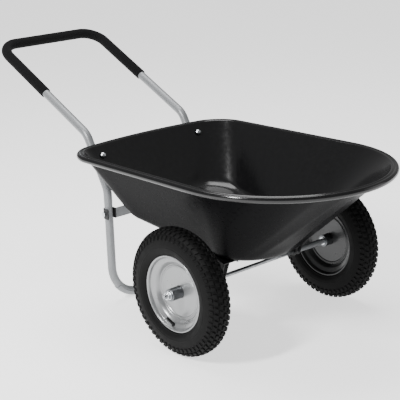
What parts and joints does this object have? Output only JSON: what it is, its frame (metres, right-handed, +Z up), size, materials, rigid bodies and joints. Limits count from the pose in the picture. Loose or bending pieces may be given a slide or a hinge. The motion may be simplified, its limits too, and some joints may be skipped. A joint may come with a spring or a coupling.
{
  "type": "two-wheeled garden cart",
  "caption": "Garden cart with a deep moulded tub, a bent-tube push handle with a foam grip, a tubular stand and pneumatic disc wheels on a fixed axle.",
  "frame": {"origin": "on the ground, under the middle of the whole cart", "axes": "+Z up, +Y back towards the handle, +X towards the pusher's left, across the cart along the axle"},
  "size_m": [0.704, 1.3811, 0.7418],
  "materials": {
    "tub_plastic": "moulded black polypropylene, satin",
    "tube_paint": "silver powder coat",
    "grip_foam": "closed-cell foam, matt with fine pores",
    "black_paint": "black powder coat",
    "zinc_plate": "bright zinc plate",
    "axle_steel": "drawn steel, oiled",
    "bearing_steel": "ground steel",
    "black_nylon": "moulded black nylon",
    "tyre_rubber": "moulded tyre rubber with block tread",
    "inner_tube_rubber": "smooth butyl rubber",
    "rim_paint": "light grey enamel on pressed steel"
  },
  "bodies": {
    "cart": {"tub": "tub_plastic", "handle_tube": "tube_paint", "foam_grip": "grip_foam", "stand_tube": "tube_paint", "stand_shoes": "tube_paint", "cross_brace": "tube_paint", "leg_clamps": "black_paint", "joint_bolts": "zinc_plate", "joint_nuts": "zinc_plate", "rear_bolts": "zinc_plate", "rear_spacers": "black_nylon", "rear_nuts": "zinc_plate", "axle_rod": "axle_steel", "axle_brackets": "black_paint", "bracket_bolts": "zinc_plate", "bracket_nuts": "zinc_plate", "axle_sleeves": "tube_paint", "axle_washers": "zinc_plate", "axle_nuts": "zinc_plate"},
    "right_wheel": {"right_tyre": "tyre_rubber", "right_inner_tube": "inner_tube_rubber", "right_rim_outer": "rim_paint", "right_rim_inner": "rim_paint", "right_hub": "zinc_plate", "right_bearings": "bearing_steel", "right_valve_stem": "inner_tube_rubber", "right_valve_cap": "black_nylon"},
    "left_wheel": {"left_tyre": "tyre_rubber", "left_inner_tube": "inner_tube_rubber", "left_rim_outer": "rim_paint", "left_rim_inner": "rim_paint", "left_hub": "zinc_plate", "left_bearings": "bearing_steel", "left_valve_stem": "inner_tube_rubber", "left_valve_cap": "black_nylon"}
  },
  "joints": [
    {"name": "right_wheel_spin", "type": "hinge", "parent": "cart", "child": "right_wheel", "pos_m": [-0.295, -0.28254, 0.178], "axis": [1, 0, 0], "continuous": true},
    {"name": "left_wheel_spin", "type": "hinge", "parent": "cart", "child": "left_wheel", "pos_m": [0.295, -0.28254, 0.178], "axis": [1, 0, 0], "continuous": true}
  ]
}
